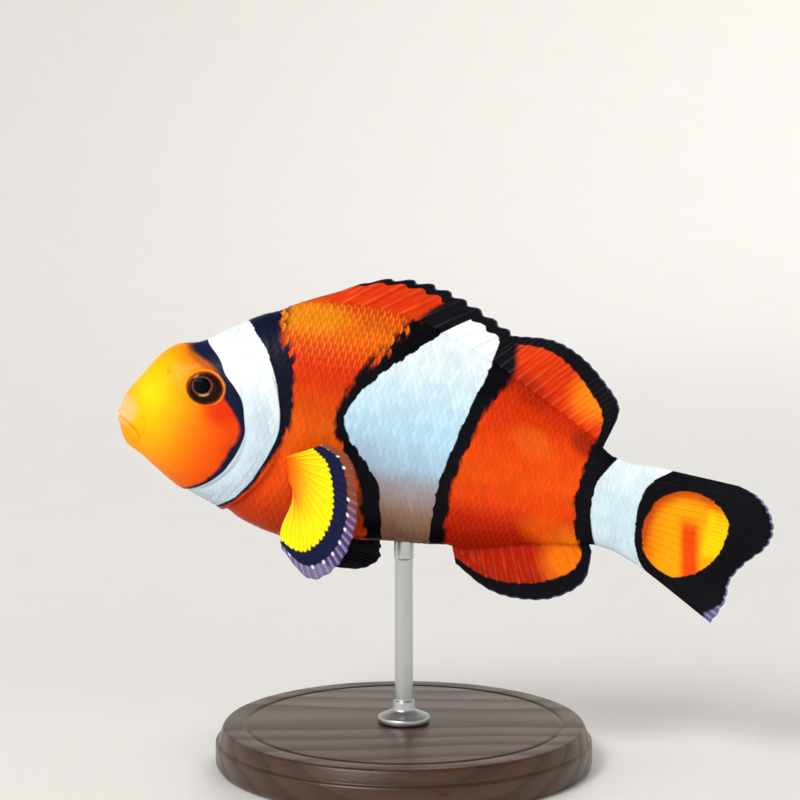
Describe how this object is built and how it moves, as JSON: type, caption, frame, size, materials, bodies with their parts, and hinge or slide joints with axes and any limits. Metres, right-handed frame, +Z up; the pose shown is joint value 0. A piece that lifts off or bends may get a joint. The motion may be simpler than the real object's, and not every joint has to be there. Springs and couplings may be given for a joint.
{
  "type": "clown anemonefish model",
  "caption": "Life-size clown anemonefish with white bands edged in black, swimming nose-up on a round base and short rod.",
  "frame": {"origin": "centre of the round base's flat underside", "axes": "+Z up, +X from the snout towards the tail, so the fish faces -X; -Y on its left flank"},
  "size_m": [0.0786, 0.046, 0.0593],
  "materials": {
    "head_skin": "moist yellow-orange fish skin",
    "band_skin": "moist white fish skin with a blue cast",
    "body_skin": "moist orange fish skin with fine scales",
    "fin_orange": "thin rayed orange fin",
    "fin_yellow": "thin rayed yellow fin",
    "fin_black": "thin rayed black fin",
    "eye": "wet dark eye",
    "stand_wood": "satin dark turned wood",
    "stand_steel": "satin steel"
  },
  "bodies": {
    "root": {"head": "head_skin", "lower_jaw": "head_skin", "gill_cover_left": "band_skin", "gill_cover_right": "band_skin", "eye_left": "eye", "eye_right": "eye", "trunk_fore": "body_skin", "trunk_rear": "body_skin", "tail_stalk": "band_skin", "tail_fin": "fin_black", "dorsal_fin_spiny": "fin_orange", "dorsal_fin_soft": "fin_orange", "anal_fin": "fin_orange", "pectoral_fin_left": "fin_yellow", "pectoral_fin_right": "fin_yellow", "pelvic_fin_left": "fin_orange", "pelvic_fin_right": "fin_orange", "stand_base": "stand_wood", "stand_rod": "stand_steel"}
  },
  "joints": []
}
